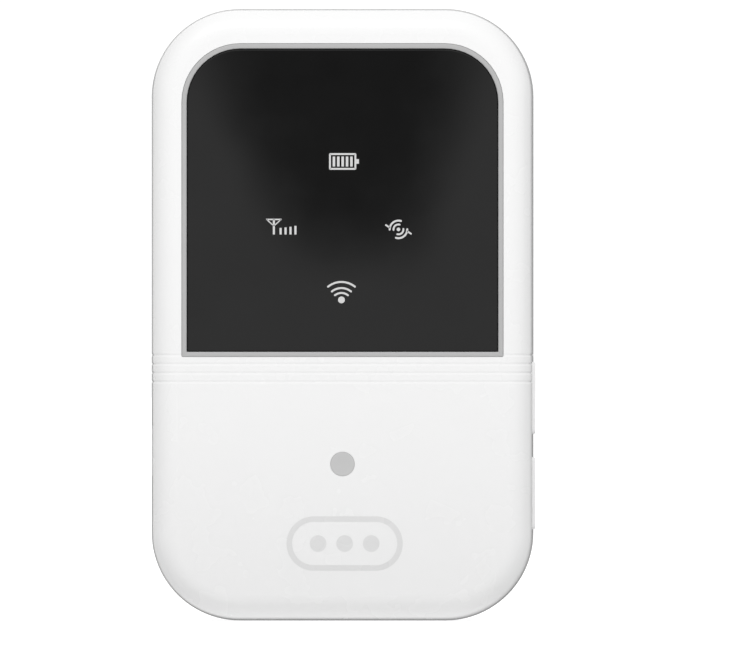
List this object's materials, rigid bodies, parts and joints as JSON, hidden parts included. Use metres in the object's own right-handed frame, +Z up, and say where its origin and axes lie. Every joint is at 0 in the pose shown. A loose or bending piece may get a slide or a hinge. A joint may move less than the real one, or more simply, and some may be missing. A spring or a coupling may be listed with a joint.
{
  "type": "mobile hotspot",
  "caption": "Pocket mobile hotspot with a black status window, front key, side keys, and a clip-on back cover over its battery and card sockets.",
  "frame": {"origin": "middle of the lower end, in the plane that it stands on", "axes": "+Z up the device, towards the end with the window; +Y out of the back cover; +X to the right as seen from the front, where the side keys are"},
  "size_m": [0.0622, 0.014, 0.0993],
  "materials": {
    "housing": "smooth white gloss",
    "trim": "satin silver paint",
    "window": "high-gloss black with pale grey printed signs",
    "key": "satin grey",
    "chassis_plastic": "fine moulded grain",
    "dark_plastic": "black moulded plastic",
    "clear_plastic": "translucent light guide",
    "board": "green solder mask",
    "shield": "tinned steel sheet",
    "gold": "gold-plated contact",
    "steel": "zinc-plated steel",
    "battery_can": "aluminium cell in a dark film wrap",
    "foil": "copper foil",
    "led": "moulded light-emitting diode",
    "pad": "soft thermal pad",
    "label": "plain white film"
  },
  "bodies": {
    "housing": {"baseband_shield": "shield", "battery_contact_1": "gold", "battery_contact_2": "gold", "battery_contact_3": "gold", "battery_contact_block": "dark_plastic", "cellular_antenna": "foil", "chassis": "chassis_plastic", "device_label": "label", "display_window": "window", "diversity_antenna": "foil", "front_shell": "housing", "light_baffle": "dark_plastic", "light_guide_battery": "clear_plastic", "light_guide_data": "clear_plastic", "light_guide_signal": "clear_plastic", "light_guide_wireless": "clear_plastic", "main_board": "board", "memory_card_cage": "shield", "modem_shield": "shield", "power_switch": "shield", "reset_switch": "shield", "screw_bottom_left": "steel", "screw_bottom_right": "steel", "screw_middle_left": "steel", "screw_middle_right": "steel", "screw_top_left": "steel", "screw_top_right": "steel", "side_switch_lower": "shield", "side_switch_upper": "shield", "sim_card_cage": "shield", "status_led_battery": "led", "status_led_data": "led", "status_led_signal": "led", "status_led_wireless": "led", "thermal_pad": "pad", "usb_port_shell": "shield", "usb_port_tongue": "dark_plastic", "window_bezel": "trim", "window_tape": "dark_plastic", "wireless_antenna": "foil", "wireless_shield": "shield"},
    "power_key": {"power_key": "key", "power_switch_plunger": "dark_plastic"},
    "side_key_upper": {"side_key_upper": "housing", "side_switch_plunger_upper": "dark_plastic"},
    "side_key_lower": {"side_key_lower": "housing", "side_switch_plunger_lower": "dark_plastic"},
    "reset_plunger": {"reset_plunger": "dark_plastic"},
    "back_cover": {"back_cover": "housing"},
    "battery": {"battery": "battery_can"},
    "sim_card": {"sim_card": "label"}
  },
  "joints": [
    {"name": "power_key_press", "type": "slide", "parent": "housing", "child": "power_key", "axis": [0, 1, 0], "range_m": [0, 0.0003], "stiffness_N_per_m": 400},
    {"name": "side_key_upper_press", "type": "slide", "parent": "housing", "child": "side_key_upper", "axis": [-1, 0, 0], "range_m": [0, 0.00025], "stiffness_N_per_m": 400},
    {"name": "side_key_lower_press", "type": "slide", "parent": "housing", "child": "side_key_lower", "axis": [-1, 0, 0], "range_m": [0, 0.00025], "stiffness_N_per_m": 400},
    {"name": "reset_plunger_press", "type": "slide", "parent": "housing", "child": "reset_plunger", "axis": [1, 0, 0], "range_m": [0, 0.0003], "stiffness_N_per_m": 400},
    {"name": "cover_off", "type": "slide", "parent": "housing", "child": "back_cover", "axis": [0, 1, 0], "range_m": [0, 0.03]},
    {"name": "battery_lift", "type": "slide", "parent": "housing", "child": "battery", "axis": [0, 1, 0], "range_m": [0, 0.015]},
    {"name": "sim_card_slide", "type": "slide", "parent": "housing", "child": "sim_card", "axis": [0, 0, -1], "range_m": [0, 0.01]}
  ],
  "couplings": [
    {"joint": "battery_lift", "follows": "cover_off", "ratio": 0.5}
  ]
}
